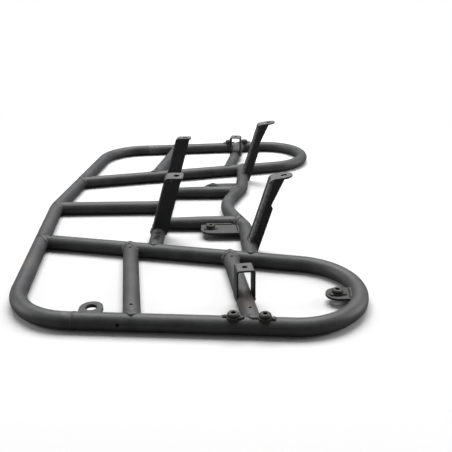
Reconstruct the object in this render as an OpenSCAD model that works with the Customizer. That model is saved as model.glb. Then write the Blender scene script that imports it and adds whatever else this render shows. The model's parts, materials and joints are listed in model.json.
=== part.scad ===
// Welded tube luggage rack for a motorcycle or quad, lying on its load face with its legs up.
// Plan positions are measured along x from the middle of the rear bar; y is the distance from
// the symmetry line, and z = 0 is the plane that the tubes lie on.

/* [Tube] */
// Outside diameter of every tube
tube_d = 22.2; // [19:0.1:25.4]
// Wall thickness of the tube
tube_wall = 1.6; // [1.2:0.1:2.5]
// Centreline radius of the two rear corners
corner_r = 86; // [70:1:100]
// Root gap left between a coped tube end and its neighbour
weld_gap = 0.1; // [0.05:0.05:0.3]
// Diameter of the vent holes beside the welds
vent_d = 4; // [2:0.5:5]
// Height angle of the vent hole in the outward side of each outer rail
side_vent_a = 9; // [0:1:60]

/* [Plan] */
// Overall length, from the middle of the rear bar to the front of the hoops
rack_length = 494; // [470:1:520]
// Angle by which each half of the rear bar sweeps forward
rear_sweep = 5.3; // [2:0.1:8]
// Distance of each outer rail's centreline from the middle, at the rear
outer_rail_y = 376.2; // [350:1:400]
// Angle by which each outer rail runs outward
outer_rail_toe = 4.5; // [0:0.1:7]
// Distance of each inner rail's centreline from the middle, at the rear
inner_rail_y = 142.3; // [130:1:155]
// Angle by which each inner rail runs outward
inner_rail_toe = 13.15; // [10:0.1:15]
// Place of the butt weld between rear bar and hoop, along x
butt_weld_x = 118; // [110:1:128]

/* [Cross tubes] */
// Place of the middle cross tube, along x
middle_cross_x = 193.2; // [185:1:205]
// Place of the rear short cross tube where it is 282 mm out
rear_cross_x = 172; // [160:1:180]
// Angle of the rear short cross tube to the y axis
rear_cross_angle = 8.4; // [4:0.1:12]
// Distance of the front short cross tube, where it is 282 mm out, behind the rack's front end
front_cross_back = 167.3; // [160:0.1:176]
// Angle of the front short cross tube to the y axis
front_cross_angle = 8; // [4:0.1:12]
// Place of the wavy cross tube's rear-most point
wave_x = 303.4; // [295:1:312]
// Angle at which the wavy cross tube leaves its middle bend
wave_angle = 19.7; // [14:0.1:22]
// Centreline radius of the wavy cross tube's middle bend
wave_r = 118; // [100:1:130]
// Distance of its outer bends from the middle
wave_bend_y = 100; // [94:1:108]
// Centreline radius of its outer bends
wave_bend_r = 45; // [40:1:60]
// Angle of its ends to the y axis
wave_end_angle = 2.5; // [0:0.1:5]
// Distance of each stay tube from the middle
stay_y = 77.5; // [72:0.5:82]
// Diameter of the stay tube's swaged rear end
stay_end_d = 18.4; // [17:0.1:20]
// Length of the stay tube's swage, measured from the middle cross tube
stay_swage = 70; // [55:1:75]

/* [Middle legs] */
// Width of the channel that both pairs of legs are folded from
leg_w = 25; // [22:0.5:28]
// Thickness of the leg's sheet
leg_t = 2.5; // [2:0.1:3]
// Distance of each middle leg's foot from the middle
middle_leg_y = 112; // [106:1:115]
// Height of the middle leg's tab
middle_leg_h = 107; // [95:1:120]
// Forward lean of the middle leg
middle_leg_lean = 16.2; // [10:0.1:18]
// Outward splay of the middle leg
middle_leg_splay = 4; // [0:0.5:8]
// Depth of the middle leg's flanges
middle_leg_depth = 25; // [24:0.5:27]
// Length of the flat of the middle leg's tab
middle_tab_l = 21; // [19:0.5:24]
// Diameter of the bolt hole in each leg's tab
leg_hole_d = 9; // [7:0.1:10]

/* [Front legs] */
// Distance of each front leg's centre from the middle
front_leg_y = 171.5; // [168:0.5:174]
// Height of the front leg's tab over its virtual bend corner
front_leg_h = 119; // [108:1:130]
// Forward lean of the front leg
front_leg_lean = 17.5; // [14:0.1:20]
// Upward tilt of the front leg's tab
front_tab_tilt = 8.5; // [4:0.5:12]
// Depth of the front leg's flanges below their step
front_leg_depth = 17.8; // [17:0.1:20]
// Depth of the flanges just above the step
front_step_depth = 14; // [12:0.1:15]
// Depth of the flanges at their top
front_top_depth = 19.6; // [17:0.1:21]
// Height of the step along the leg
front_step_h = 84; // [76:1:90]
// Length of the flat of the front leg's tab
front_tab_l = 28; // [26:0.5:32]

/* [Brackets and plates] */
// Outside width of the strap bracket
strap_w = 24; // [23.5:0.1:26]
// Thickness of the strap
strap_t = 2.3; // [2:0.1:2.8]
// Depth of the strap along its cross tube
strap_l = 22.5; // [20:0.5:25]
// Height of the strap bracket's top
strap_h = 54; // [45:1:62]
// Distance of the strap bracket from the middle
strap_y = 333; // [320:1:340]
// Diameter of the strap bracket's hole
strap_hole_d = 7; // [6:0.1:9]
// Thickness of the flat plates
plate_t = 3; // [2.5:0.1:4]
// Place of the stay plate's rear edge
stay_plate_x = 260.5; // [257:0.5:262]
// Distance of the stay plate's outer edge from the middle
stay_plate_y = 125; // [120:1:130]
// Corner radius of the stay plate
stay_plate_r = 18; // [10:1:20]
// Distance of the stay plate's nut from the middle
stay_nut_y = 104; // [102:0.5:106]
// Width of the tab inside each hoop
hoop_tab_w = 30; // [24:1:34]
// Distance of the hoop tab from the middle
hoop_tab_y = 328; // [322:1:334]
// Reach of the hoop tab's hole from the hoop's front centreline
hoop_tab_reach = 29; // [27:0.5:32]
// Width of the eyelet
eyelet_w = 29.5; // [26:0.5:32]
// Diameter of the eyelet's hole
eyelet_hole_d = 14.5; // [10:0.5:16]
// Thickness of the eyelet
eyelet_t = 4.7; // [3:0.1:6]
// Place of the eyelet along x
eyelet_x = 133; // [130:1:140]
// Distance of the eyelet's hole from the outer rail's centreline
eyelet_reach = 29; // [28:0.5:32]

/* [Weld nuts] */
// Diameter of the nut's body
nut_d = 14.6; // [13:0.1:15]
// Diameter of the nut's flange
nut_flange_d = 17; // [16:0.1:18]
// Height of the nut over the surface it is welded to
nut_h = 6.2; // [5:0.1:8]
// Thread diameter of the nut
nut_thread_d = 6; // [5:1:8]
// Distance of the rear rail nut behind the front cross tube
nut_back = 24; // [22:0.5:27]
// Distance of the front rail nut ahead of the front cross tube
nut_ahead = 13; // [12.5:0.5:18]

/* [Hidden] */
$fn = 64;
tube_r = tube_d / 2;
coat = [0.16, 0.16, 0.16];

// Bend in the middle of the rear bar, and the shift that centres the rack on the origin
rear_v_x = corner_r * (1 / cos(rear_sweep) - 1);
rear_edge_x = rear_v_x - tube_r;
centre_x = rear_edge_x + rack_length / 2;
front_cross_x = rear_edge_x + rack_length - front_cross_back;

// Rear corner: its centre lies one bend radius inside both centrelines
corner_rhs = corner_r - outer_rail_y * cos(outer_rail_toe);
corner_det = -cos(rear_sweep + outer_rail_toe);
corner_cx = (sin(rear_sweep) * corner_rhs - corner_r * cos(outer_rail_toe)) / corner_det;
corner_cy = (cos(rear_sweep) * corner_rhs - corner_r * sin(outer_rail_toe)) / corner_det;

// Front hoop: one arc tangent to both rails that ends at the rack's length
hoop_end_x = rear_edge_x + rack_length - tube_r;
toe_sum = 1 / cos(outer_rail_toe) + 1 / cos(inner_rail_toe);
toe_gain = tan(outer_rail_toe) - tan(inner_rail_toe);
hoop_r = (outer_rail_y - inner_rail_y + toe_gain * hoop_end_x) / (toe_sum + toe_gain);
hoop_cx = hoop_end_x - hoop_r;
hoop_cy = outer_y(hoop_cx) - hoop_r / cos(outer_rail_toe);

// Where each inner rail meets the rear bar
inner_start_x = inner_rail_y * tan(rear_sweep) / (1 - tan(rear_sweep) * tan(inner_rail_toe));

// Wavy tube: middle bend, straight, outer bend and straight end
wave_bend_x = wave_x + wave_r - wave_r / cos(wave_angle) + wave_bend_y * tan(wave_angle);
wave_turn = wave_angle - wave_end_angle;
wave_bend = [wave_bend_x, wave_bend_y];
wave_arc_start = wave_bend - wave_bend_r * tan(wave_turn / 2) * along(wave_angle);
wave_arc_centre = wave_arc_start + wave_bend_r * [-cos(wave_angle), sin(wave_angle)];
wave_mid_end = [wave_x + wave_r, 0] + wave_r * [-cos(wave_angle), sin(wave_angle)];
wave_arc_end = wave_arc_centre + wave_bend_r * [cos(wave_end_angle), -sin(wave_end_angle)];

// Short cross tubes are placed by the point where they are this far out
cross_ref_y = 282;
// Spare length of the tools that cut tubes, and the seam left where a run is joined to a bend
spare = 40;
run_trim = 0.05;
mark_w = 1.2;
mark_h = 0.1;

// Heights of the plates, centred on the tubes
plate_z = tube_r - plate_t / 2;
nut_chamfer = 1.5;
nut_lip = 1.5;
leg_bend_r = 9;
strap_bend_r = 4;
rail_nut_rear_x = cross_x_at_rail() - nut_back;
rail_nut_front_x = cross_x_at_rail() + nut_ahead;
stay_nut_x = stay_plate_x + 15.7;

function along(angle) = [sin(angle), cos(angle)];
function outer_y(x) = outer_rail_y + x * tan(outer_rail_toe);
function inner_y(x) = inner_rail_y + x * tan(inner_rail_toe);
function cross_x(x0, angle, y) = x0 + (y - cross_ref_y) * tan(angle);
// x at which a line through (x0, reference) at an angle crosses a rail with that start and toe
function meet_x(x0, angle, rail_y, toe) =
    (x0 + (rail_y - cross_ref_y) * tan(angle)) / (1 - tan(angle) * tan(toe));
function cross_x_at_rail() = meet_x(front_cross_x, front_cross_angle, outer_rail_y, outer_rail_toe);

module place() {
    translate([-centre_x, 0, 0]) children();
}

module left() {
    mirror([0, 1, 0]) children();
}

// Hollow straight run between two plan points
module run(from, to) {
    d = to - from;
    translate([from.x, from.y, tube_r])
        rotate([0, 90, atan2(d.y, d.x)])
            translate([0, 0, run_trim])
                linear_extrude(norm(d) - 2 * run_trim)
                    difference() {
                        circle(tube_r);
                        circle(tube_r - tube_wall);
                    }
}

// Faint raised band that joins a run to a bend, as the bending tool marks it
module bend_mark(at, heading) {
    translate([at.x, at.y, tube_r])
        rotate([0, 90, 90 - heading])
            linear_extrude(mark_w, center = true)
                difference() {
                    circle(tube_r + mark_h);
                    circle(tube_r - tube_wall / 2);
                }
}

// Solid or hollow bend in the plane of the rack, grown by a gap where it is a cutting tool
module bend(centre, radius, a0, a1, wall, gap = 0) {
    translate([centre.x, centre.y, tube_r])
        rotate([0, 0, a0])
            rotate_extrude(angle = a1 - a0, $fn = 160)
                translate([radius, 0])
                    difference() {
                        circle(tube_r + gap);
                        if (wall > 0) circle(tube_r - wall);
                    }
}

// Tool that copes a tube end against a straight neighbour
module cope(from, to) {
    d = to - from;
    translate([from.x, from.y, tube_r])
        rotate([0, 90, atan2(d.y, d.x)])
            translate([0, 0, -spare])
                cylinder(h = norm(d) + 2 * spare, r = tube_r + weld_gap);
}

module cope_inner_rail() {
    cope([0, inner_y(0)], [hoop_cx, inner_y(hoop_cx)]);
}

module cope_outer_rail() {
    cope([spare, outer_y(spare)], [hoop_cx, outer_y(hoop_cx)]);
}

module cope_rear_bar() {
    cope([0, 0], inner_rail_y * [tan(rear_sweep), 1]);
}

module cope_middle_cross() {
    cope([middle_cross_x, -inner_rail_y], [middle_cross_x, inner_rail_y]);
}

module cope_front_cross() {
    cope([cross_x(front_cross_x, front_cross_angle, inner_rail_y), inner_rail_y],
        [cross_x_at_rail(), outer_y(cross_x_at_rail())]);
}

module cope_wave_slant() {
    cope(wave_mid_end, wave_arc_start - spare * along(wave_angle));
}

module cope_wave_end() {
    cope(wave_arc_end + spare * along(wave_end_angle),
        wave_arc_end + 1.5 * spare * along(wave_end_angle));
}

module vent(x, y) {
    translate([x, y, tube_r]) cylinder(h = tube_r + 1, d = vent_d, $fn = 24);
}

// Vent hole in the outward side of the outer rail
module side_vent(x) {
    translate([x, outer_y(x), tube_r])
        rotate([side_vent_a - 90, 0, outer_rail_toe])
            cylinder(h = tube_r + 1, d = vent_d, $fn = 24);
}

// Half of the rear bar: sweep, rear corner and the stub of the outer rail
module rear_bar_half() {
    corner = [corner_cx, corner_cy];
    v_end = [corner_r / cos(rear_sweep), 0] - corner_r * [cos(rear_sweep), -sin(rear_sweep)];
    corner_start = corner - corner_r * [cos(rear_sweep), -sin(rear_sweep)];
    corner_end = corner - corner_r * [sin(outer_rail_toe), -cos(outer_rail_toe)];
    run(v_end, corner_start);
    bend(corner, corner_r, 90 + outer_rail_toe, 180 - rear_sweep, tube_wall);
    run(corner_end, [butt_weld_x, outer_y(butt_weld_x)]);
    bend_mark(v_end, rear_sweep);
    bend_mark(corner_start, rear_sweep);
    bend_mark(corner_end, 90 - outer_rail_toe);
}

module rear_bar() {
    color(coat) place() {
        bend([corner_r / cos(rear_sweep), 0], corner_r, 180 - rear_sweep, 180 + rear_sweep,
            tube_wall);
        rear_bar_half();
        left() rear_bar_half();
    }
}

// Outer rail, front loop and inner rail bent from one tube
module side_hoop() {
    centre = [hoop_cx, hoop_cy];
    outer_end = centre + hoop_r * [-sin(outer_rail_toe), cos(outer_rail_toe)];
    inner_end = centre + hoop_r * [sin(inner_rail_toe), -cos(inner_rail_toe)];
    start_x = butt_weld_x + weld_gap;
    difference() {
        union() {
            run([start_x, outer_y(start_x)], outer_end);
            bend(centre, hoop_r, inner_rail_toe - 90, 90 + outer_rail_toe, tube_wall);
            run([inner_start_x, inner_y(inner_start_x)], inner_end);
            bend_mark(outer_end, 90 - outer_rail_toe);
            bend_mark(inner_end, 90 - inner_rail_toe);
        }
        cope_rear_bar();
        for (x = [rail_nut_rear_x, rail_nut_front_x])
            translate([x, outer_y(x), tube_r]) cylinder(h = tube_d, d = nut_thread_d + 0.6);
        vent(30, inner_y(30));
        side_vent(rear_cross_x + 1);
    }
}

module side_hoop_right() {
    color(coat) place() side_hoop();
}

module side_hoop_left() {
    color(coat) place() left() side_hoop();
}

module centre_rail() {
    color(coat) place()
        difference() {
            run([0, 0], [middle_cross_x, 0]);
            bend([corner_r / cos(rear_sweep), 0], corner_r, 166, 194, 0, weld_gap);
            cope_middle_cross();
        }
}

module middle_cross_tube() {
    reach = inner_y(middle_cross_x);
    color(coat) place()
        difference() {
            run([middle_cross_x, -reach], [middle_cross_x, reach]);
            cope_inner_rail();
            left() cope_inner_rail();
            vent(middle_cross_x, reach - 24);
            left() vent(middle_cross_x, reach - 24);
        }
}

// Slanted run, outer bend and straight end of the wavy tube
module wave_half() {
    slope = tan(inner_rail_toe);
    reach = (inner_y(wave_arc_end.x) - wave_arc_end.y)
        / (cos(wave_end_angle) - slope * sin(wave_end_angle));
    run(wave_mid_end, wave_arc_start);
    bend(wave_arc_centre, wave_bend_r, -wave_angle, -wave_end_angle, tube_wall);
    run(wave_arc_end, wave_arc_end + reach * along(wave_end_angle));
    bend_mark(wave_mid_end, wave_angle);
    bend_mark(wave_arc_start, wave_angle);
    bend_mark(wave_arc_end, wave_end_angle);
}

module wavy_cross_tube() {
    color(coat) place()
        difference() {
            union() {
                bend([wave_x + wave_r, 0], wave_r, 180 - wave_angle, 180 + wave_angle, tube_wall);
                wave_half();
                left() wave_half();
            }
            cope_inner_rail();
            left() cope_inner_rail();
        }
}

// Round stay, swaged down where it meets the middle cross tube
module stay_tube() {
    swage_end = middle_cross_x + stay_swage;
    front = wave_bend_x - (wave_bend_y - stay_y) * tan(wave_angle);
    difference() {
        union() {
            translate([middle_cross_x, stay_y, tube_r]) rotate([0, 90, 0])
                difference() {
                    cylinder(h = stay_swage, d1 = stay_end_d, d2 = tube_d);
                    translate([0, 0, -1]) cylinder(h = stay_swage + 2, d = stay_end_d - 2 * tube_wall);
                }
            run([swage_end, stay_y], [front, stay_y]);
            bend_mark([swage_end, stay_y], 90);
        }
        cope_middle_cross();
        cope_wave_slant();
    }
}

module stay_tube_right() {
    color(coat) place() stay_tube();
}

module stay_tube_left() {
    color(coat) place() left() stay_tube();
}

// Short cross tube between an inner and an outer rail, at an angle to the y axis
module short_cross(x0, angle) {
    inner = meet_x(x0, angle, inner_rail_y, inner_rail_toe);
    outer = meet_x(x0, angle, outer_rail_y, outer_rail_toe);
    difference() {
        run([inner, inner_y(inner)], [outer, outer_y(outer)]);
        cope_inner_rail();
        cope_outer_rail();
        vent(outer - 24 * tan(angle), outer_y(outer) - 24);
        vent(inner + 18 * tan(angle), inner_y(inner) + 18);
    }
}

module rear_cross_tube_right() {
    color(coat) place() short_cross(rear_cross_x, rear_cross_angle);
}

module rear_cross_tube_left() {
    color(coat) place() left() short_cross(rear_cross_x, rear_cross_angle);
}

module front_cross_tube_right() {
    color(coat) place() short_cross(front_cross_x, front_cross_angle);
}

module front_cross_tube_left() {
    color(coat) place() left() short_cross(front_cross_x, front_cross_angle);
}

// Point in the bend's own frame: s along the tab and h above the bend's centre
function tab_point(rise, s, h) = s * [cos(rise), sin(rise)] + h * [-sin(rise), cos(rise)];
// Distance along the tab's underside at which it is a given distance out from the web
function tab_reach(rise, out) =
    (out - leg_bend_r + (leg_bend_r - leg_t) * sin(rise)) / cos(rise);
// Height at which the web ends and its bend begins, for a virtual corner at a given height
function bend_start(corner, rise) = corner - leg_bend_r * tan((90 - rise) / 2);

// Leg in its bend's own frame: x is out from the web and z is up along it. The edge is the free
// edge of the flanges as [out, up] points from the foot to the tab
module folded_leg(foot, top, rise, length, edge, out, end_r, hole_x) {
    under = leg_bend_r - leg_t;
    rim = [for (q = edge) q - [leg_bend_r, top]];
    fold_r = leg_t + 1;
    difference() {
        rotate([90, 0, 0])
            linear_extrude(leg_w, center = true) {
                circle(leg_bend_r);
                polygon(concat([[0, 0], [-leg_bend_r, 0], [-leg_bend_r, foot - top]], rim,
                    [tab_point(rise, tab_reach(rise, out), under),
                        tab_point(rise, length + 1, under), tab_point(rise, length + 1, leg_bend_r),
                        tab_point(rise, 0, leg_bend_r)]));
            }
        rotate([90, 0, 0])
            linear_extrude(leg_w - 2 * leg_t, center = true)
                polygon([[-under, 0], [-under, foot - top - 1], [leg_w * 2, foot - top - 1],
                    tab_point(rise, leg_w * 2, under - 0.2), tab_point(rise, 0, under - 0.2)]);
        translate([0, 0, foot - top - 1])
            linear_extrude(top - foot + 1)
                for (side = [-1, 1])
                    difference() {
                        translate([fold_r / 2 - leg_bend_r - 0.5, side * (leg_w / 2 - fold_r / 2 + 0.5)])
                            square(fold_r + 1, center = true);
                        translate([fold_r - leg_bend_r, side * (leg_w / 2 - fold_r)])
                            circle(fold_r, $fn = 32);
                    }
        rotate([0, -rise, 0])
            translate([0, 0, under - 1]) {
                translate([hole_x, 0, 0]) cylinder(h = leg_t + 2, d = leg_hole_d);
                linear_extrude(leg_t + 2) tab_end_cut(length, end_r);
            }
    }
}

// Outline that rounds the tab's two corners, or its whole end if the radius is over half its width
module tab_end_cut(length, end_r) {
    difference() {
        translate([length - end_r, -leg_w]) square([end_r + 2, 2 * leg_w]);
        if (end_r > leg_w / 2) {
            translate([length - end_r, 0]) circle(end_r);
        } else {
            for (side = [-1, 1])
                translate([length - end_r, side * (leg_w / 2 - end_r)]) circle(end_r);
            translate([length - end_r - 1, end_r - leg_w / 2])
                square([end_r + 1, leg_w - 2 * end_r]);
        }
    }
}

// Middle leg: a saddle at its foot fits over the middle cross tube
module middle_leg() {
    rise = middle_leg_lean;
    top = bend_start(middle_leg_h / cos(rise) / cos(middle_leg_splay), rise);
    foot = tube_r / cos(rise);
    foot_x = middle_cross_x - tube_r * (1 + tan(rise)) - 1.5;
    edge = [[middle_leg_depth, foot + middle_leg_depth * tan(rise)]];
    difference() {
        translate([foot_x, middle_leg_y, 0])
            rotate([-middle_leg_splay, 0, 0])
                rotate([0, rise, 0])
                    translate([leg_bend_r, 0, top])
                        folded_leg(foot, top, rise, middle_tab_l, edge, middle_leg_depth, 3,
                            middle_tab_l / 2);
        cope_middle_cross();
    }
}

module middle_leg_right() {
    color(coat) place() middle_leg();
}

module middle_leg_left() {
    color(coat) place() left() middle_leg();
}

// Front leg: narrower channel with stepped flanges and a round-ended tab
module front_leg() {
    rise = front_leg_lean + front_tab_tilt;
    top = bend_start(front_leg_h / cos(front_leg_lean), rise);
    foot_x = wave_bend_x - tube_r * tan(front_leg_lean) - 0.5;
    edge = [[front_leg_depth, tube_r], [front_leg_depth, front_step_h],
        [front_step_depth, front_step_h + 4]];
    difference() {
        translate([foot_x, front_leg_y, 0])
            rotate([0, front_leg_lean, 0])
                translate([leg_bend_r, 0, top])
                    folded_leg(tube_r, top, rise, front_tab_l, edge, front_top_depth,
                        leg_w / 2 + 0.3, front_tab_l - leg_w / 2);
        cope_wave_end();
    }
}

module front_leg_right() {
    color(coat) place() front_leg();
}

module front_leg_left() {
    color(coat) place() left() front_leg();
}

// Strap folded into a U that stands over the front cross tube, with a hole in its top
module strap_bracket() {
    r = strap_bend_r;
    inner_w = strap_w - 2 * strap_t;
    difference() {
        translate([cross_x(front_cross_x, front_cross_angle, strap_y) + 1, strap_y, 0])
            rotate([0, 0, -front_cross_angle])
                difference() {
                    rotate([90, 0, 0])
                        linear_extrude(strap_l, center = true)
                            difference() {
                                strap_arch(strap_w, strap_h, r);
                                strap_arch(inner_w, strap_h - strap_t, r - strap_t);
                            }
                    cylinder(h = strap_h + 1, d = strap_hole_d);
                }
        cope_front_cross();
    }
}

module strap_arch(w, h, r) {
    translate([-w / 2, tube_r]) square([w, h - tube_r - r]);
    translate([r - w / 2, tube_r]) square([w - 2 * r, h - tube_r]);
    for (side = [-1, 1]) translate([side * (w / 2 - r), h - r]) circle(r, $fn = 32);
}

module strap_bracket_right() {
    color(coat) place() strap_bracket();
}

module strap_bracket_left() {
    color(coat) place() left() strap_bracket();
}

// Point on the rear side of the wavy tube's outer bend, at a weld gap from the tube
function wave_rear(angle, run = 0) =
    wave_arc_centre + (wave_bend_r - tube_r - weld_gap) * [cos(angle), -sin(angle)]
        + run * along(angle);

// Flat gusset plate in the corner between a stay and the wavy tube, drilled for its nut
module stay_plate() {
    inner_y = stay_y + tube_r + weld_gap;
    round_x = stay_plate_x + stay_plate_r;
    round_y = stay_plate_y - stay_plate_r;
    translate([0, 0, plate_z])
        linear_extrude(plate_t)
            difference() {
                polygon([[stay_plate_x, inner_y], [stay_plate_x, round_y], [round_x, round_y],
                    [round_x, stay_plate_y], wave_rear(wave_end_angle,
                        (stay_plate_y - wave_rear(wave_end_angle).y) / cos(wave_end_angle)),
                    wave_rear(wave_end_angle), wave_rear((wave_angle + wave_end_angle) / 2),
                    wave_rear(wave_angle), wave_rear(wave_angle,
                        (inner_y - wave_rear(wave_angle).y) / cos(wave_angle))]);
                translate([stay_nut_x, stay_nut_y]) circle(d = nut_thread_d + 0.6);
            }
    translate([round_x, round_y, plate_z]) cylinder(h = plate_t, r = stay_plate_r);
}

module stay_plate_right() {
    color(coat) place() stay_plate();
}

module stay_plate_left() {
    color(coat) place() left() stay_plate();
}

// Round-ended tab inside the front of a hoop, drilled for its nut
module hoop_tab() {
    hole_x = hoop_end_x - hoop_tab_reach;
    difference() {
        translate([0, 0, plate_z])
            linear_extrude(plate_t)
                difference() {
                    union() {
                        translate([hole_x, hoop_tab_y]) circle(d = hoop_tab_w);
                        translate([hole_x, hoop_tab_y - hoop_tab_w / 2])
                            square([hoop_tab_reach, hoop_tab_w]);
                    }
                    translate([hole_x, hoop_tab_y]) circle(d = nut_thread_d + 0.6);
                }
        bend([hoop_cx, hoop_cy], hoop_r, -60, 60, 0, weld_gap);
    }
}

module hoop_tab_left() {
    color(coat) place() left() hoop_tab();
}

// Lashing eyelet on the left outer rail only
module lashing_eyelet() {
    rail = outer_y(eyelet_x);
    hole_y = rail - eyelet_reach;
    color(coat) place() left()
        difference() {
            translate([0, 0, tube_r - eyelet_t / 2])
                linear_extrude(eyelet_t) {
                    translate([eyelet_x, hole_y]) circle(d = eyelet_w);
                    translate([eyelet_x - eyelet_w / 2, hole_y]) square([eyelet_w, eyelet_reach]);
                }
            translate([eyelet_x, hole_y, 0]) cylinder(h = tube_d, d = eyelet_hole_d);
            cope_outer_rail();
        }
}

// Round weld nut with a chamfered top and a base flange; z is the surface it is welded to
module weld_nut(x, y, z, skirt) {
    translate([x, y, z])
        difference() {
            union() {
                translate([0, 0, -skirt]) cylinder(h = skirt + nut_lip, d = nut_flange_d);
                cylinder(h = nut_h - nut_chamfer, d = nut_d);
                translate([0, 0, nut_h - nut_chamfer])
                    cylinder(h = nut_chamfer, d1 = nut_d, d2 = nut_d - 2 * nut_chamfer);
            }
            translate([0, 0, -skirt - 1]) cylinder(h = skirt + nut_h + 2, d = nut_thread_d);
        }
}

// Weld nut with a base shaped to the round of the outer rail
module rail_nut(x) {
    difference() {
        weld_nut(x, outer_y(x), tube_d, tube_r / 2);
        cope_outer_rail();
        cope_front_cross();
    }
}

module rear_rail_nut_right() {
    color(coat) place() rail_nut(rail_nut_rear_x);
}

module rear_rail_nut_left() {
    color(coat) place() left() rail_nut(rail_nut_rear_x);
}

module front_rail_nut_right() {
    color(coat) place() rail_nut(rail_nut_front_x);
}

module front_rail_nut_left() {
    color(coat) place() left() rail_nut(rail_nut_front_x);
}

module plate_nut(x, y) {
    weld_nut(x, y, plate_z + plate_t, 0);
}

module stay_nut_right() {
    color(coat) place() plate_nut(stay_nut_x, stay_nut_y);
}

module stay_nut_left() {
    color(coat) place() left() plate_nut(stay_nut_x, stay_nut_y);
}

module hoop_nut_left() {
    color(coat) place() left() plate_nut(hoop_end_x - hoop_tab_reach, hoop_tab_y);
}

rear_bar();
side_hoop_left();
side_hoop_right();
centre_rail();
middle_cross_tube();
wavy_cross_tube();
stay_tube_left();
stay_tube_right();
rear_cross_tube_left();
rear_cross_tube_right();
front_cross_tube_left();
front_cross_tube_right();
middle_leg_left();
middle_leg_right();
front_leg_left();
front_leg_right();
strap_bracket_left();
strap_bracket_right();
stay_plate_left();
stay_plate_right();
hoop_tab_left();
lashing_eyelet();
rear_rail_nut_left();
rear_rail_nut_right();
front_rail_nut_left();
front_rail_nut_right();
stay_nut_left();
stay_nut_right();
hoop_nut_left();
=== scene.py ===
import bpy
import json
import math
import random
import numpy as np
from mathutils import Matrix, Vector


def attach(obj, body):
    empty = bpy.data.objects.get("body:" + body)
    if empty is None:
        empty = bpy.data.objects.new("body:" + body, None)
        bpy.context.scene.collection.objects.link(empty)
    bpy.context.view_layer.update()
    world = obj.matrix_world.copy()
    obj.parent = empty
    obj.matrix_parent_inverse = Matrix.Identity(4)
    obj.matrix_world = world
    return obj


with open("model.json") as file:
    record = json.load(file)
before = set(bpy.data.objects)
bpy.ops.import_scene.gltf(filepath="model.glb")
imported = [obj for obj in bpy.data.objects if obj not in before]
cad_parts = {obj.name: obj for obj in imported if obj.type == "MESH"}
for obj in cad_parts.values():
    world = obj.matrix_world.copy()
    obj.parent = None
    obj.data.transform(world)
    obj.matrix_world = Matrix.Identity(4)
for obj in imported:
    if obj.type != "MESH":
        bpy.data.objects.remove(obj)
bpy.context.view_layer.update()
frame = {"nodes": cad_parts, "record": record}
nodes = frame["nodes"]

# The rack's plan in millimetres: x from the middle of the rear bar, y across, z up
TUBE_R = 11.1
# x of the frame's origin, and the lowest point that a weld may reach
MID = 236.269
FLOOR_Z = 0.35
# Rear bar: radius of its bends and sweep of its two halves
REAR_BEND_R = 86.0
SWEEP = 5.3
# Outer and inner rails: y at x = 0, and toe
OUT_Y, OUT_TOE = 376.2, 4.5
IN_Y, IN_TOE = 142.3, 13.15
# Side hoop: joint with the rear bar, and centre and radius of its front loop
BUTT_X = 118.0
HOOP_X, HOOP_Y, HOOP_R = 386.441, 320.620, 85.728
# Middle cross tube
MIDDLE_X = 193.2
# Wavy tube: angle and end of its slanted run, the bend, and start and angle of its outer run
WAVE_A = 19.7
WAVE_START = (329.575, 93.593)
WAVE_BEND_X, WAVE_BEND_Y, WAVE_BEND_R = 287.209, 108.762, 45.0
WAVE_STOP = (332.166, 106.799)
WAVE_END = 2.5
# x where the slanted and the outer run would cross
WAVE_CORNER_X = 331.87
# Stay: y of its axis and radius of its swaged rear end
STAY_Y, SWAGE_R = 77.5, 9.55
# Short cross tubes: x where they cross the line y = CROSS_Y, and angle
CROSS_Y = 282
REAR_X, REAR_A = 172.0, 8.4
FRONT_X, FRONT_A = 315.969, 8.0
# Strap bracket: its y, how far it sits ahead of the tube's axis, and then its welds: distance
# across the tube, height and half length at the feet, and distance along the tube at the edges
STRAP_Y, STRAP_AHEAD = 333.0, 1
STRAP_FOOT, STRAP_FOOT_Z, STRAP_FOOT_HALF = 11.9, 11.4, 10.6
STRAP_EDGE = 11.35
# Middle leg: welds beside its flanges, with the angles that they arch over, across its web, and
# at its tab
MIDDLE_FLANGE_Y = (("in", 100.0), ("out", 125.1))
MIDDLE_ARC = (8, 172)
MIDDLE_WEB_Y = (102, 122.5)
TAB_TACK_X, TAB_TACK_Z = 218.5, 102.6
TAB_TACK_Y = {"left": 132.0, "right": 107.2}
# Front leg: lean, and likewise the welds beside its flanges and across its web
FRONT_LEG_LEAN = 17.5
FRONT_FLANGE_Y = (("in", 159.0), ("out", 184.0))
FRONT_ARC = (-22, 90)
FRONT_WEB_Y = (161, 182)
# Gusset plate: its welds along the stay and along the wavy tube
GUSSET_X = (266, 312)
GUSSET_Y = (94, 122)
PLATE_WELD_Z = 13.0
# Hoop tab: angles of the loop between which it is welded
HOOP_TAB_ARC = (-6, 16)
# Eyelet: its x, half its welded length, and how far its welds lie above and below the axis
EYELET_X, EYELET_HALF, EYELET_RISE = 133.0, 14.2, 2.9
# Nuts on the outer rails, the gusset plates and the hoop tab
RAIL_NUT_X = (("rear", 308.888), ("front", 345.888))
STAY_NUT = (276.2, 104.0)
HOOP_NUT = (443.169, 328.0)
# Tacks of a rail nut: angle from the rail, distance from the nut's axis and half length, and the
# distance from that axis at which they stand on the round of the rail
RAIL_TACKS = (("a", 6, 9.4, 4.3), ("b", 184, 9.4, 4.3), ("c", 262, 8.2, 2.9))
RAIL_TACK_FOOT = 9.0
# Tacks of a nut on a plate: angle, distance from the nut's axis, and height
PLATE_TACKS = (("a", 20), ("b", 150), ("c", 275))
PLATE_TACK_R, PLATE_TACK_Z = 8.6, 12.9
UP = np.array([0.0, 0.0, 1.0])
rng = random.Random(7)


# Sine, cosine and tangent of an angle in degrees
def sd(a):
    return math.sin(math.radians(a))


def cd(a):
    return math.cos(math.radians(a))


def td(a):
    return math.tan(math.radians(a))


def outer_y(x):
    return OUT_Y + x * td(OUT_TOE)


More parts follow.
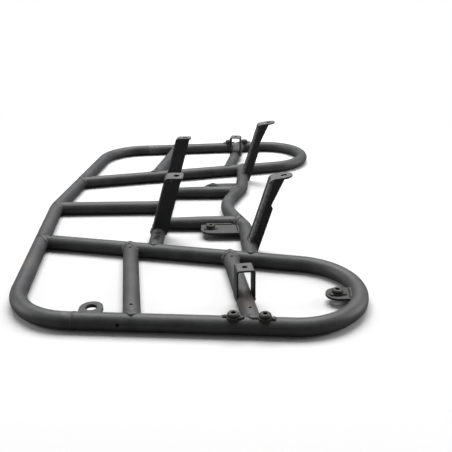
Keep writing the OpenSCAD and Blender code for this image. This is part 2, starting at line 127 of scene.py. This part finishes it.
def inner_y(x):
    return IN_Y + x * td(IN_TOE)


def wave_end_x(y):
    """x of the wavy tube's outer run at y."""
    return WAVE_STOP[0] + (y - WAVE_STOP[1]) * td(WAVE_END)


def meet(x0, angle, rail, toe):
    """Where the axis of a short cross tube crosses the axis of a rail."""
    x = (x0 + (rail - CROSS_Y) * td(angle)) / (1 - td(angle) * td(toe))
    return np.array([x, rail + x * td(toe), TUBE_R])


def unit(v):
    v = np.asarray(v, float)
    return v / np.linalg.norm(v)


def along(angle):
    """Level heading, measured from +Y towards +X."""
    return np.array([sd(angle), cd(angle), 0.0])


def level(angle):
    """Level heading, measured from +X towards +Y."""
    return np.array([cd(angle), sd(angle), 0.0])


def upright(angle):
    """Heading in the upright plane across a cross tube, measured from +X towards +Z."""
    return np.array([cd(angle), 0, sd(angle)])


OUT_DIR = level(OUT_TOE)
OUT_SIDE = np.array([-OUT_DIR[1], OUT_DIR[0], 0.0])
IN_DIR = level(IN_TOE)


# Shader helpers
def new_material(name):
    m = bpy.data.materials.new(name)
    m.use_nodes = True
    m.node_tree.nodes.clear()
    return m, m.node_tree


def noise(tree, at, scale, detail=4.0, rough=0.6):
    n = tree.nodes.new("ShaderNodeTexNoise")
    n.inputs["Scale"].default_value = scale
    n.inputs["Detail"].default_value = detail
    n.inputs["Roughness"].default_value = rough
    tree.links.new(at, n.inputs["Vector"])
    return n.outputs["Fac"]


def ramp(tree, value, low, high):
    n = tree.nodes.new("ShaderNodeMapRange")
    n.interpolation_type = "SMOOTHSTEP"
    n.inputs["From Min"].default_value = low
    n.inputs["From Max"].default_value = high
    tree.links.new(value, n.inputs["Value"])
    return n.outputs["Result"]


def calc(tree, kind, a, b):
    n = tree.nodes.new("ShaderNodeMath")
    n.operation = kind
    for i, v in enumerate((a, b)):
        if isinstance(v, (int, float)):
            n.inputs[i].default_value = v
        else:
            tree.links.new(v, n.inputs[i])
    return n.outputs[0]


def vector(tree, kind, *values, output="Vector"):
    n = tree.nodes.new("ShaderNodeVectorMath")
    n.operation = kind
    for i, v in enumerate(values):
        if isinstance(v, tuple):
            n.inputs[i].default_value = v
        else:
            tree.links.new(v, n.inputs[i])
    return n.outputs[output]


def mix(tree, share, a, b):
    n = tree.nodes.new("ShaderNodeMix")
    n.data_type = "RGBA"
    tree.links.new(share, n.inputs[0])
    for socket, v in ((n.inputs[6], a), (n.inputs[7], b)):
        if isinstance(v, tuple):
            socket.default_value = v
        else:
            tree.links.new(v, socket)
    return n.outputs[2]


def grey(value):
    return (value, value, value, 1.0)


# Scales of the noise per metre, from clouds in the coat to its pits
CLOUD, PATCH, CHIP = 34.0, 75.0, 160.0
SPECK, GRAIN, PIT = 420.0, 900.0, 2600.0
# How far the coat's colour varies, and the share of light specks
DARKEST, LIGHTEST, SPECK_SHARE = 0.82, 1.18, 0.18
# Spots and streaks: share of the radius that is full, then scale and detail of the noise that
# breaks them up, and the range over which it lets them show
SPOT = (0.4, 170.0, 5.0, 0.34, 0.60)
STREAK = (0.8, 260.0, 4.0, 0.36, 0.52)
BUMP_STRENGTH, BUMP_DEPTH = 0.30, 0.00022
# Thin coat at an edge, and the grey of the dust and of the painted overhead light on what faces up
BARE_EDGE = (0.24, 0.235, 0.23, 1.0)
DUST_AND_LIT_TOP_GREY = (0.225, 0.225, 0.222, 1.0)


def mark(t, at, base, away, kind, radius, share, tint):
    """Tint the base colour near a point or line, broken up by noise."""
    core, scale, detail, low, high = kind
    near = ramp(t, away, core * radius / 1000, radius / 1000)
    near = calc(t, "SUBTRACT", 1.0, near)
    broken = ramp(t, noise(t, at, scale, detail, 0.7), low, high)
    amount = calc(t, "MULTIPLY", calc(t, "MULTIPLY", near, broken), share)
    return mix(t, amount, base, tint)


def powder_coat(name, colour, rough, wear, painted_top_light, dust, round_mm=0.9, spots=(), streaks=()):
    """Black powder coat: cloudy sheen, fine pits, worn edges, dust and painted light on what faces
    up.

    wear is the share of an edge that is bare. The argument after wear is the uniform share of a
    lighter grey on what faces up, painted light from overhead, and dust is its patchy share, which
    is dust; round_mm is the radius that edges appear to have. A spot is x, y, z, radius, share and
    tint. A streak runs up a leg: x, y and lean of its line, radius, share and tint.
    """
    m, t = new_material(name)
    link = t.links.new
    geo = t.nodes.new("ShaderNodeNewGeometry")
    at = geo.outputs["Position"]
    cloud = noise(t, at, CLOUD, 6.0)
    grain = noise(t, at, GRAIN, 3.0)
    pit = noise(t, at, PIT, 2.0)
    speck = ramp(t, noise(t, at, SPECK, 2.0), 0.68, 0.74)
    darker = tuple(c * DARKEST for c in colour) + (1.0,)
    lighter = tuple(c * LIGHTEST for c in colour) + (1.0,)
    base = mix(t, ramp(t, cloud, 0.32, 0.68), darker, lighter)
    base = mix(t, calc(t, "MULTIPLY", speck, SPECK_SHARE), base, grey(0.30))

    # Bare edges, where the rounded normal leaves the flat one
    bevel = t.nodes.new("ShaderNodeBevel")
    bevel.samples = 4
    bevel.inputs["Radius"].default_value = round_mm / 1000
    same = vector(t, "DOT_PRODUCT", bevel.outputs["Normal"], geo.outputs["Normal"], output="Value")
    edge = calc(t, "SUBTRACT", 1.0, same)
    chip = ramp(t, noise(t, at, CHIP, 6.0, 0.7), 0.50, 0.62)
    worn = calc(t, "MULTIPLY", ramp(t, edge, 0.04, 0.2), chip)
    worn = calc(t, "MULTIPLY", worn, wear)
    base = mix(t, worn, base, BARE_EDGE)

    # Dust on what faces up, in patches, and a uniform lighter grey there: painted overhead light
    facing = t.nodes.new("ShaderNodeSeparateXYZ")
    link(geo.outputs["Normal"], facing.inputs[0])
    top = ramp(t, facing.outputs["Z"], 0.55, 0.98)
    patchy = ramp(t, noise(t, at, PATCH, 6.0, 0.65), 0.40, 0.72)
    dust_and_lit_top = calc(t, "MULTIPLY", top, calc(t, "ADD", painted_top_light, calc(t, "MULTIPLY", patchy, dust)))
    base = mix(t, dust_and_lit_top, base, DUST_AND_LIT_TOP_GREY)

    for x, y, z, radius, share, tint in spots:
        centre = ((x - MID) / 1000, y / 1000, z / 1000)
        away = vector(t, "DISTANCE", at, centre, output="Value")
        base = mark(t, at, base, away, SPOT, radius, share, tint)
    for x, y, lean, radius, share, tint in streaks:
        step = vector(t, "SUBTRACT", at, ((x - MID) / 1000, y / 1000, 0.0))
        cross = vector(t, "CROSS_PRODUCT", step, (sd(lean), 0.0, cd(lean)))
        away = vector(t, "LENGTH", cross, output="Value")
        base = mark(t, at, base, away, STREAK, radius, share, tint)

    shader = t.nodes.new("ShaderNodeBsdfPrincipled")
    link(base, shader.inputs["Base Color"])
    gloss = calc(t, "ADD", rough - 0.07, calc(t, "MULTIPLY", cloud, 0.16))
    gloss = calc(t, "ADD", gloss, calc(t, "MULTIPLY", dust_and_lit_top, 0.3))
    link(gloss, shader.inputs["Roughness"])
    shader.inputs["Specular IOR Level"].default_value = 0.5
    height = calc(t, "ADD", calc(t, "MULTIPLY", grain, 0.7), calc(t, "MULTIPLY", pit, 0.3))
    height = calc(t, "SUBTRACT", height, calc(t, "MULTIPLY", worn, 0.5))
    bump = t.nodes.new("ShaderNodeBump")
    bump.inputs["Strength"].default_value = BUMP_STRENGTH
    bump.inputs["Distance"].default_value = BUMP_DEPTH
    link(height, bump.inputs["Height"])
    link(bevel.outputs["Normal"], bump.inputs["Normal"])
    link(bump.outputs["Normal"], shader.inputs["Normal"])
    out = t.nodes.new("ShaderNodeOutputMaterial")
    link(shader.outputs[0], out.inputs["Surface"])
    return m


# Brown stains, pale rub marks, and a near-black streak of three spots beside the vent of the middle
# cross tube
TAN = (0.20, 0.16, 0.11, 1.0)
PALE = (0.36, 0.36, 0.35, 1.0)
NEAR_BLACK = grey(0.004)
tube_spots = (
    (20.0, -243.0, 20.0, 26.0, 0.20, TAN),
    (193.0, -60.0, 20.0, 22.0, 0.16, TAN),
    (330.0, -352.0, 20.0, 34.0, 0.30, TAN),
    (131.0, 377.0, 14.0, 21.0, 0.30, PALE),
    (114.0, -385.0, 21.0, 13.0, 0.28, PALE),
    (193.2, -128.0, 21.0, 10.0, 0.30, PALE),
    (194.5, -144.0, 22.0, 6.5, 2.0, NEAR_BLACK),
    (195.5, -155.0, 22.0, 6.5, 2.0, NEAR_BLACK),
    (194.5, -165.0, 22.0, 7.5, 2.0, NEAR_BLACK),
    (462.0, 335.0, 18.0, 30.0, 0.16, PALE),
)
# Painted highlights: lighter strips up the fold that faces left on each front leg, where light from
# the left catches the rounded fold
FOLD_X = WAVE_CORNER_X - TUBE_R * td(FRONT_LEG_LEAN)
fold_highlight = (
    (FOLD_X, -184.0, FRONT_LEG_LEAN, 6.0, 0.95, grey(0.34)),
    (FOLD_X, 159.0, FRONT_LEG_LEAN, 4.5, 0.65, grey(0.24)),
)
# Darker patch round the hoop tab, over its plate, nut and weld
hoop_tab_dark_patch = ((452.0, -330.0, 14.0, 34.0, 0.75, (0.030, 0.028, 0.025, 1.0)),)

coat_tube = powder_coat(
    "coat_tube", (0.088, 0.089, 0.092), 0.44, wear=0.35, painted_top_light=0.10, dust=0.10, spots=tube_spots)
coat_bracket = powder_coat(
    "coat_bracket", (0.049, 0.049, 0.054), 0.50, wear=1.0, painted_top_light=0.62, dust=0.30, round_mm=1.8,
    streaks=fold_highlight)
coat_plate = powder_coat(
    "coat_plate", (0.070, 0.071, 0.073), 0.46, wear=0.8, painted_top_light=0.10, dust=0.25, spots=hoop_tab_dark_patch)
coat_nut = powder_coat(
    "coat_nut", (0.026, 0.025, 0.020), 0.44, wear=1.0, painted_top_light=0.16, dust=0.42, round_mm=0.5)
coat_weld = powder_coat(
    "coat_weld", (0.082, 0.083, 0.086), 0.42, wear=0.4, painted_top_light=0.06, dust=0.12, spots=hoop_tab_dark_patch)

slots = {s["node"]: s["material_slot"] for s in frame["record"]["subparts"]}
looks = {
    "tube_coat": coat_tube,
    "bracket_coat": coat_bracket,
    "plate_coat": coat_plate,
    "nut_coat": coat_nut,
}
for name, obj in nodes.items():
    obj.data.materials.clear()
    obj.data.materials.append(looks[slots[name]])


# Weld beads and tack welds
def make_mesh(name, verts, faces, material):
    mesh = bpy.data.meshes.new(name)
    metres = [((x - MID) / 1000, y / 1000, max(z, FLOOR_Z) / 1000) for x, y, z in verts]
    mesh.from_pydata(metres, [], faces)
    mesh.polygons.foreach_set("use_smooth", [True] * len(mesh.polygons))
    mesh.update()
    obj = bpy.data.objects.new(name, mesh)
    bpy.context.scene.collection.objects.link(obj)
    mesh.materials.append(material)
    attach(obj, "root")


def bead(name, points, lifts, half=2.1, tall=1.35, closed=True):
    """Rippled weld bead swept along a line; lifts point out of the joint at each point."""
    spacing, pitch, sides = 0.55, 2.9, 10
    pts = np.asarray(points, float)
    ups = np.asarray(lifts, float)
    if closed:
        pts = np.vstack([pts, pts[:1]])
        ups = np.vstack([ups, ups[:1]])
    steps = np.linalg.norm(np.diff(pts, axis=0), axis=1)
    dist = np.concatenate([[0], np.cumsum(steps)])
    total = dist[-1]
    count = max(8, int(total / spacing))
    where = np.linspace(0, total, count + (0 if closed else 1), endpoint=not closed)
    path = np.array([[np.interp(w, dist, pts[:, k]) for k in range(3)] for w in where])
    lift = np.array([[np.interp(w, dist, ups[:, k]) for k in range(3)] for w in where])
    beads = max(3, round(total / pitch))
    phase = rng.random()
    jitter = [rng.uniform(-0.12, 0.12) for _ in range(beads + 2)]
    verts = []
    # Each ripple swells a little differently, and an open bead tapers at both ends
    for i, w in enumerate(where):
        ahead = path[(i + 1) % len(path)] if closed else path[min(i + 1, len(path) - 1)]
        back = path[i - 1] if closed or i else path[i]
        tan = unit(ahead - back)
        up = lift[i] - tan * np.dot(lift[i], tan)
        up = unit(up) if np.linalg.norm(up) > 1e-6 else UP
        side = np.cross(tan, up)
        turn = (w / total * beads + phase) % beads
        k = int(turn)
        f = turn - k
        swell = 1 + jitter[k] * (1 - f) + jitter[(k + 1) % beads] * f
        ripple = 0.80 + 0.20 * math.sqrt(abs(math.sin(math.pi * f)))
        taper = 1.0
        if not closed:
            taper = min(1.0, 0.25 + 0.75 * min(w, total - w) / (1.6 * half))
        wide = half * swell * taper * (0.92 + 0.08 * ripple)
        high = tall * swell * ripple * taper
        for s in range(sides):
            a = 2 * math.pi * s / sides
            verts.append(path[i] + side * wide * math.cos(a) + up * high * (math.sin(a) + 0.15))
    faces = []
    rows = len(path)
    for i in range(rows if closed else rows - 1):
        j = (i + 1) % rows
        for s in range(sides):
            e = (s + 1) % sides
            faces.append((i * sides + s, i * sides + e, j * sides + e, j * sides + s))
    if not closed:
        faces.append(tuple(range(sides - 1, -1, -1)))
        faces.append(tuple((rows - 1) * sides + s for s in range(sides)))
    make_mesh(name, verts, faces, coat_weld)


def cope_ring(name, centre, heading, neighbour, radius=TUBE_R, half=4.1, tall=1.9):
    """Bead where a tube's end meets another tube; centre is where the two axes cross."""
    count = 96
    a = unit(heading)
    b = unit(neighbour)
    e2 = np.cross(a, UP)
    pts, ups = [], []
    for i in range(count):
        f = 2 * math.pi * i / count
        n = UP * math.cos(f) + e2 * math.sin(f)
        ab, nb = float(a @ b), float(n @ b)
        p, q = 1 - ab * ab, -2 * radius * ab * nb
        c = radius * radius - (radius * nb) ** 2 - TUBE_R * TUBE_R
        reach = (-q + math.sqrt(max(q * q - 4 * p * c, 0.0))) / (2 * p)
        d = reach * a + radius * n
        pts.append(centre + d)
        ups.append(unit(n + unit(d - b * float(d @ b))))
    bead(name, pts, ups, half, tall)


def blob(name, centre, heading, long, wide, high, look):
    """Uneven tack weld: a lumpy ball stretched along its heading."""
    rows, sides = 10, 14
    a = unit(heading)
    b = np.cross(UP, a)
    phase = [rng.uniform(0, 6.28) for _ in range(3)]
    verts = []
    for i in range(1, rows):
        t = math.pi * i / rows
        for k in range(sides):
            f = 2 * math.pi * k / sides
            d = a * math.cos(t) + (b * math.cos(f) + UP * math.sin(f)) * math.sin(t)
            lump = 1 + 0.13 * math.sin(3 * f + phase[0] + 2 * t)
            lump += 0.09 * math.sin(5 * t + phase[1] + f)
            stretched = a * d.dot(a) * long + b * d.dot(b) * wide + UP * d.dot(UP) * high
            verts.append(centre + lump * stretched)
    verts.append(centre + a * long)
    verts.append(centre - a * long)
    faces = []
    for i in range(rows - 2):
        for k in range(sides):
            e = (k + 1) % sides
            faces.append((i * sides + k, i * sides + e, (i + 1) * sides + e, (i + 1) * sides + k))
    top, end, last = len(verts) - 2, len(verts) - 1, (rows - 2) * sides
    for k in range(sides):
        e = (k + 1) % sides
        faces.append((top, e, k))
        faces.append((end, last + k, last + e))
    make_mesh(name, verts, faces, look)


def over_tube(x, y, arc, count, face):
    """Points and lifts of a bead that arches over a cross tube beside a leg's flange."""
    rays = [upright(f) for f in np.linspace(*arc, count)]
    pts = [np.array([x, y, TUBE_R]) + n * (TUBE_R + 0.4) for n in rays]
    return pts, [n * 0.6 + np.array([0, face, 0]) for n in rays]


def frame_welds(tag, flip):
    """Rings where the tubes of one side meet; flip puts a point on that side."""
    x0 = IN_Y * td(SWEEP) / (1 - td(SWEEP) * td(IN_TOE))
    start = np.array([x0, inner_y(x0), TUBE_R])
    cope_ring(f"weld_inner_rail_{tag}", flip(start), flip(IN_DIR), flip(along(SWEEP)))
    end = np.array([MIDDLE_X, inner_y(MIDDLE_X), TUBE_R])
    cope_ring(f"weld_middle_cross_{tag}", flip(end), flip([0, -1, 0]), flip(IN_DIR))
    reach = (inner_y(WAVE_STOP[0]) - WAVE_STOP[1]) / (cd(WAVE_END) - td(IN_TOE) * sd(WAVE_END))
    end = np.array([*WAVE_STOP, TUBE_R]) + reach * along(WAVE_END)
    cope_ring(f"weld_wavy_{tag}", flip(end), flip(-along(WAVE_END)), flip(IN_DIR))
    for part, xc, angle in (("rear", REAR_X, REAR_A), ("front", FRONT_X, FRONT_A)):
        inner = meet(xc, angle, IN_Y, IN_TOE)
        outer = meet(xc, angle, OUT_Y, OUT_TOE)
        cope_ring(f"weld_{part}_cross_in_{tag}", flip(inner), flip(along(angle)), flip(IN_DIR))
        cope_ring(f"weld_{part}_cross_out_{tag}", flip(outer), flip(-along(angle)), flip(OUT_DIR))
    cope_ring(
        f"weld_stay_rear_{tag}", flip([MIDDLE_X, STAY_Y, TUBE_R]), [1, 0, 0], [0, 1, 0],
        SWAGE_R, 2.0, 1.2)
    x1 = WAVE_START[0] - (WAVE_START[1] - STAY_Y) * td(WAVE_A)
    end = flip([x1, STAY_Y, TUBE_R])
    cope_ring(f"weld_stay_front_{tag}", end, [-1, 0, 0], flip(along(WAVE_A)))
    # Ground butt weld of the outer rail
    centre = np.array([BUTT_X, outer_y(BUTT_X), TUBE_R])
    turns = np.linspace(0, 2 * math.pi, 96, endpoint=False)
    ring = [OUT_SIDE * math.cos(f) + UP * math.sin(f) for f in turns]
    bead(f"weld_butt_{tag}", flip([centre + TUBE_R * n for n in ring]), flip(ring), 2.0, 0.35)


def nut_welds(tag, flip, hoop):
    """Tacks of the nuts on the outer rail and on the plates."""
    for part, x in RAIL_NUT_X:
        foot = np.array([x, outer_y(x), 0.0])
        for k, f, reach, long in RAIL_TACKS:
            lean = OUT_DIR * cd(f) + OUT_SIDE * sd(f)
            crest = TUBE_R + math.sqrt(TUBE_R * TUBE_R - (sd(f) * RAIL_TACK_FOOT) ** 2)
            spot = foot + lean * reach + np.array([0, 0, crest - 0.4])
            blob(f"weld_{part}_rail_nut_{k}_{tag}", flip(spot), flip(lean), long, 3.5, 2.7, coat_nut)
    plates = (("stay", STAY_NUT), ("hoop", HOOP_NUT)) if hoop else (("stay", STAY_NUT),)
    for part, (x, y) in plates:
        for k, f in PLATE_TACKS:
            spot = [x + PLATE_TACK_R * cd(f), y + PLATE_TACK_R * sd(f), PLATE_TACK_Z]
            blob(f"weld_{part}_nut_{k}_{tag}", flip(spot), flip(level(f)), 3.2, 3.8, 2.1, coat_nut)


def hoop_tab_weld(tag, flip):
    """Bead along the hoop tab, inside the loop."""
    rays = [level(f) for f in np.linspace(*HOOP_TAB_ARC, 24)]
    lift = np.array([0, 0, PLATE_WELD_Z + 0.1])
    pts = [np.array([HOOP_X, HOOP_Y, 0]) + n * (HOOP_R - TUBE_R - 0.2) + lift for n in rays]
    bead(f"weld_hoop_tab_{tag}", flip(pts), flip([UP - 0.7 * n for n in rays]), 2.4, 1.8, False)


def gusset_welds(tag, flip):
    """Beads of the gusset plate along the stay and along the wavy tube."""
    pts = [[x, STAY_Y + TUBE_R + 0.6, PLATE_WELD_Z] for x in np.linspace(*GUSSET_X, 24)]
    bead(f"weld_gusset_stay_{tag}", flip(pts), flip([[0, 0.7, 1.0]] * 24), 1.9, 1.4, False)
    pts = []
    for y in np.linspace(*GUSSET_Y, 20):
        x = wave_end_x(y) - TUBE_R - 0.5
        if y < WAVE_STOP[1]:
            inside = (WAVE_BEND_R - TUBE_R - 0.5) ** 2 - (y - WAVE_BEND_Y) ** 2
            x = WAVE_BEND_X + math.sqrt(max(0, inside))
        pts.append([x, y, PLATE_WELD_Z])
    bead(f"weld_gusset_wavy_{tag}", flip(pts), flip([[-0.7, 0, 1.0]] * 20), 1.9, 1.4, False)


def strap_welds(tag, flip):
    """Beads along the feet of the strap bracket and up both edges of its legs."""
    x = FRONT_X + (STRAP_Y - CROSS_Y) * td(FRONT_A) + STRAP_AHEAD
    axis = along(FRONT_A)
    across = np.array([axis[1], -axis[0], 0.0])
    for k, s in (("a", -1), ("b", 1)):
        foot = np.array([x, STRAP_Y, STRAP_FOOT_Z]) + across * s * STRAP_FOOT
        pts = [foot + axis * w for w in np.linspace(-STRAP_FOOT_HALF, STRAP_FOOT_HALF, 20)]
        lift = across * s * 0.8 + np.array([0, 0, -0.6])
        bead(f"weld_strap_{k}_{tag}", flip(pts), flip([lift] * 20), 1.7, 1.2, False)
        for j, w, face in (("in", -STRAP_EDGE, -1), ("out", STRAP_EDGE, 1)):
            edge = np.array([x, STRAP_Y, TUBE_R]) + axis * w
            reach = TUBE_R + 0.35
            pts = []
            for f in np.linspace(4, 30, 10):
                pts.append(edge + across * s * reach * cd(f) + np.array([0, 0, reach * sd(f)]))
            lift = axis * face * 0.8 + across * s * 0.5
            bead(f"weld_strap_{k}_{j}_{tag}", flip(pts), flip([lift] * 10), 1.5, 1.1, False)


def leg_welds(tag, flip):
    """Beads beside the flanges of both legs and across their webs."""
    for (k, y), face in zip(MIDDLE_FLANGE_Y, (-1.0, 1.0)):
        pts, ups = over_tube(MIDDLE_X, y, MIDDLE_ARC, 44, face)
        bead(f"weld_middle_leg_{k}_{tag}", flip(pts), flip(ups), 2.0, 1.4, False)
    pts = [[MIDDLE_X - 12.2, y, 13.2] for y in np.linspace(*MIDDLE_WEB_Y, 20)]
    bead(f"weld_middle_leg_web_{tag}", flip(pts), flip([[-1.0, 0, 0.1]] * 20), 1.9, 1.4, False)
    for (k, y), face in zip(FRONT_FLANGE_Y, (-1.0, 1.0)):
        pts, ups = over_tube(wave_end_x(y), y, FRONT_ARC, 34, face)
        bead(f"weld_front_leg_{k}_{tag}", flip(pts), flip(ups), 2.0, 1.4, False)
    pts = [[wave_end_x(y) - 0.2, y, 2 * TUBE_R + 0.3] for y in np.linspace(*FRONT_WEB_Y, 20)]
    bead(f"weld_front_leg_web_{tag}", flip(pts), flip([[-0.7, 0, 0.8]] * 20), 2.1, 1.5, False)


for tag, side in (("left", -1), ("right", 1)):
    def on_side(v, side=side):
        v = np.array(v, float)
        v[..., 1] = v[..., 1] * side
        return v

    frame_welds(tag, on_side)
    nut_welds(tag, on_side, hoop=side < 0)
    if side < 0:
        hoop_tab_weld(tag, on_side)
    gusset_welds(tag, on_side)
    strap_welds(tag, on_side)
    leg_welds(tag, on_side)
    # Small tack where the flange that faces left meets the tab of the middle leg
    tack = on_side([TAB_TACK_X, TAB_TACK_Y[tag], TAB_TACK_Z])
    blob(f"weld_middle_tab_{tag}", tack, [1, 0, 0], 2.2, 1.0, 2.0, coat_weld)

# Both ends of the centre rail, and the eyelet on the left
rear_x = REAR_BEND_R * (1 / cd(SWEEP) - 1)
cope_ring("weld_centre_rear", np.array([rear_x, 0, TUBE_R]), [1, 0, 0], [0, 1, 0])
cope_ring("weld_centre_front", np.array([MIDDLE_X, 0, TUBE_R]), [-1, 0, 0], [0, 1, 0])
for k, up in (("top", 1.0), ("under", -1.0)):
    run = np.linspace(EYELET_X - EYELET_HALF, EYELET_X + EYELET_HALF, 24)
    pts = [[x, -(outer_y(x) - TUBE_R - 0.3), TUBE_R + up * EYELET_RISE] for x in run]
    bead(f"weld_eyelet_{k}", pts, [[0, 0.8, up]] * 24, 1.9, 1.4, False)


# Floor, backdrop and light in metres; the floor fades to white between the two distances
FLOOR_SIZE, FLOOR_DROP = 60, 0.0002
FADE = (0.50, 1.05)


def paper(name, colour, dark, fade):
    """Matt surface, pale to the camera and darker to bounced light, that fades to white."""
    m, t = new_material(name)
    path = t.nodes.new("ShaderNodeLightPath")
    seen = mix(t, path.outputs["Is Camera Ray"], dark, colour)
    shade = t.nodes.new("ShaderNodeBsdfDiffuse")
    t.links.new(seen, shade.inputs["Color"])
    geo = t.nodes.new("ShaderNodeNewGeometry")
    far = vector(t, "LENGTH", geo.outputs["Position"], output="Value")
    blank = t.nodes.new("ShaderNodeEmission")
    blank.inputs["Color"].default_value = grey(1.0)
    away = calc(t, "MULTIPLY", ramp(t, far, *fade), path.outputs["Is Camera Ray"])
    both = t.nodes.new("ShaderNodeMixShader")
    t.links.new(away, both.inputs[0])
    t.links.new(shade.outputs[0], both.inputs[1])
    t.links.new(blank.outputs[0], both.inputs[2])
    out = t.nodes.new("ShaderNodeOutputMaterial")
    t.links.new(both.outputs[0], out.inputs["Surface"])
    return m


bpy.ops.mesh.primitive_plane_add(size=FLOOR_SIZE, location=(0, 0, -FLOOR_DROP))
floor = bpy.context.active_object
floor.name = "floor"
floor.data.materials.append(paper("floor_paper", grey(0.98), grey(0.19), FADE))

world = bpy.data.worlds.new("studio")
bpy.context.scene.world = world
world.use_nodes = True
wt = world.node_tree
wt.nodes.clear()
path = wt.nodes.new("ShaderNodeLightPath")
room = wt.nodes.new("ShaderNodeBackground")
room.inputs["Color"].default_value = grey(0.085)
white = wt.nodes.new("ShaderNodeBackground")
white.inputs["Color"].default_value = grey(1.0)
choose = wt.nodes.new("ShaderNodeMixShader")
wt.links.new(path.outputs["Is Camera Ray"], choose.inputs[0])
wt.links.new(room.outputs[0], choose.inputs[1])
wt.links.new(white.outputs[0], choose.inputs[2])
out = wt.nodes.new("ShaderNodeOutputWorld")
wt.links.new(choose.outputs[0], out.inputs["Surface"])


def soft_light(name, place, target, width, depth, power):
    data = bpy.data.lights.new(name, "AREA")
    data.shape = "RECTANGLE"
    data.size = width
    data.size_y = depth
    data.energy = power
    obj = bpy.data.objects.new(name, data)
    obj.location = place
    obj.rotation_mode = "QUATERNION"
    obj.rotation_quaternion = (Vector(target) - Vector(place)).to_track_quat("-Z", "Y")
    bpy.context.scene.collection.objects.link(obj)


soft_light("overhead", (0.0, 1.05, 2.45), (0, 0, 0), 2.6, 1.8, 88)
soft_light("left_side", (-3.0, 0.1, 0.9), (0, 0, 0.05), 1.6, 2.6, 36)
soft_light("right_side", (3.0, 0.3, 0.9), (0, 0, 0.05), 1.6, 2.6, 48)

# Camera at the photo's angle: place in millimetres, angles in degrees, focal length in pixels
PLACE = (303.39, -1029.94, 394.88)
PITCH, YAW, ROLL = 22.2547, -0.149, 0.7843
FOCAL, PICTURE, SENSOR = 618.7392, 452, 36.0
forward = Vector((sd(YAW) * cd(PITCH), cd(YAW) * cd(PITCH), -sd(PITCH)))
level_right = Vector((cd(YAW), -sd(YAW), 0.0))
level_down = forward.cross(level_right)
right = cd(ROLL) * level_right + sd(ROLL) * level_down
down = -sd(ROLL) * level_right + cd(ROLL) * level_down
lens = bpy.data.cameras.new("camera")
lens.sensor_width = SENSOR
lens.lens = FOCAL / PICTURE * SENSOR
lens.clip_start = 0.01
lens.clip_end = 200.0
camera = bpy.data.objects.new("camera", lens)
turn = Matrix((right, -down, -forward)).transposed()
place = ((PLACE[0] - MID) / 1000, PLACE[1] / 1000, PLACE[2] / 1000)
camera.matrix_world = Matrix.Translation(place) @ turn.to_4x4()
bpy.context.scene.collection.objects.link(camera)
bpy.context.scene.camera = camera
bpy.context.scene.view_settings.view_transform = "Standard"
